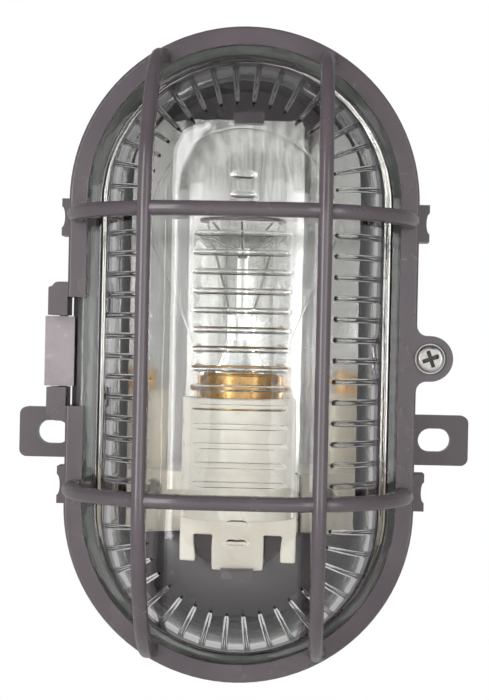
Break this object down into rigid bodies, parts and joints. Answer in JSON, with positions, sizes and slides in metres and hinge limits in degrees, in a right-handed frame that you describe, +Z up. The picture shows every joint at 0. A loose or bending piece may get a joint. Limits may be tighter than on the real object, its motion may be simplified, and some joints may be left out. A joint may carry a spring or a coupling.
{
  "type": "bulkhead light",
  "caption": "Oval wall light with a moulded base, a hinged cage frame closed by a screw, a ribbed clear glass lens and a screw-cap lamp in a porcelain holder.",
  "frame": {"origin": "centre of the base's back face, on the wall", "axes": "+Z up the wall, +Y into the wall, so the light faces -Y and +X is to the viewer's right"},
  "size_m": [0.153, 0.0987, 0.21],
  "materials": {
    "grey_plastic": "satin moulded plastic with a warm grey tint",
    "black_rubber": "matt",
    "brass": "plain",
    "bright_aluminium": "bright rolled",
    "porcelain": "cream glaze",
    "plated_steel": "zinc plated",
    "lamp_glass": "clear",
    "black_glass": "black vitrite",
    "solder": "dull",
    "nickel_wire": "dull",
    "tungsten": "dull",
    "lens_glass": "clear pressed, ribbed inside"
  },
  "bodies": {
    "base": {"base": "grey_plastic", "cable_grommet": "black_rubber", "gasket": "black_rubber", "screw_insert": "brass", "holder_shell": "brass", "holder_contact": "brass", "terminal_clamps": "brass", "bulb_cap": "brass", "reflector": "bright_aluminium", "holder_body": "porcelain", "terminal_screws": "plated_steel", "bulb_glass": "lamp_glass", "bulb_stem": "lamp_glass", "cap_insulator": "black_glass", "cap_contact": "solder", "lead_wires": "nickel_wire", "support_wires": "nickel_wire", "filament": "tungsten"},
    "cage": {"cage_frame": "grey_plastic", "glass_lens": "lens_glass"},
    "screw": {"closing_screw": "plated_steel", "screw_washer": "plated_steel"}
  },
  "joints": [
    {"name": "cage_hinge", "type": "hinge", "parent": "base", "child": "cage", "pos_m": [-0.0586, -0.033, 0], "axis": [0, 0, -1], "range_deg": [0, 120]},
    {"name": "screw_travel", "type": "slide", "parent": "cage", "child": "screw", "axis": [0, -1, 0], "range_m": [0, 0.008]}
  ]
}
